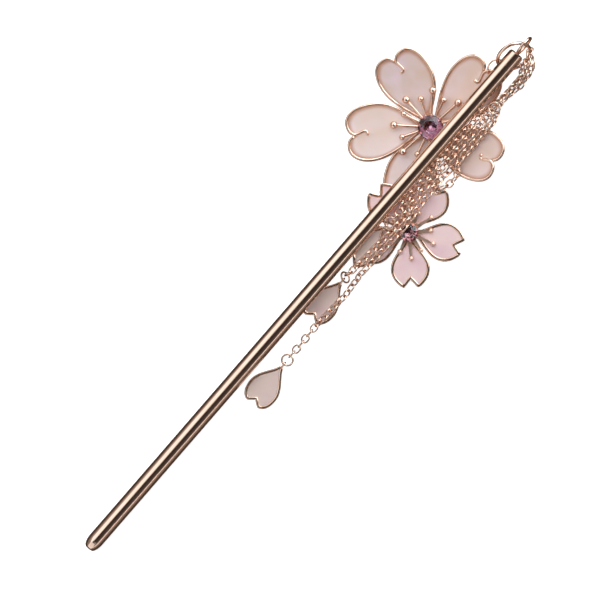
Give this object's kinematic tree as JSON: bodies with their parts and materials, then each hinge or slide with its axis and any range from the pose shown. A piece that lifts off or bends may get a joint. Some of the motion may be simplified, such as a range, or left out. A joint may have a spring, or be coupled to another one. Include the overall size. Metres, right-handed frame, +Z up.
{
  "type": "kanzashi hairpin",
  "caption": "Hair stick with a hanging ring, two sakura flowers with crystals, fine chains and petal drops, laid flat.",
  "frame": {"origin": "middle of the bottom of the whole part, on the surface that it lies on", "axes": "+X along the stick from its tip to its head, +Z up from the surface"},
  "size_m": [0.1658, 0.0462, 0.0107],
  "materials": {
    "rose_gold": "polished rose gold plate",
    "pearl_film": "translucent pearl",
    "pink_enamel": "glossy translucent",
    "lilac_crystal": "faceted and foiled"
  },
  "bodies": {
    "root": {"hair_stick": "rose_gold", "head_ring": "rose_gold", "flower_ring": "rose_gold", "large_flower_frame": "rose_gold", "large_flower_stamens": "rose_gold", "large_crystal": "lilac_crystal", "petal_film_1": "pearl_film", "petal_film_2": "pearl_film", "petal_film_3": "pearl_film", "petal_film_4": "pearl_film", "petal_film_5": "pearl_film", "small_flower_frame": "rose_gold", "small_flower_stamens": "rose_gold", "small_crystal": "lilac_crystal", "petal_enamel_1": "pink_enamel", "petal_enamel_2": "pink_enamel", "petal_enamel_3": "pink_enamel", "petal_enamel_4": "pink_enamel", "petal_enamel_5": "pink_enamel", "small_flower_ring": "rose_gold", "chain_ring": "rose_gold", "drop_frame_1": "rose_gold", "drop_frame_2": "rose_gold", "drop_frame_3": "rose_gold", "drop_enamel_1": "pink_enamel", "drop_enamel_2": "pink_enamel", "drop_enamel_3": "pink_enamel", "drop_ring_1": "rose_gold", "drop_ring_2": "rose_gold", "drop_ring_3": "rose_gold", "chain_a_upper": "rose_gold", "chain_a_lower": "rose_gold", "chain_b": "rose_gold", "chain_c": "rose_gold", "chain_d": "rose_gold"}
  },
  "joints": []
}
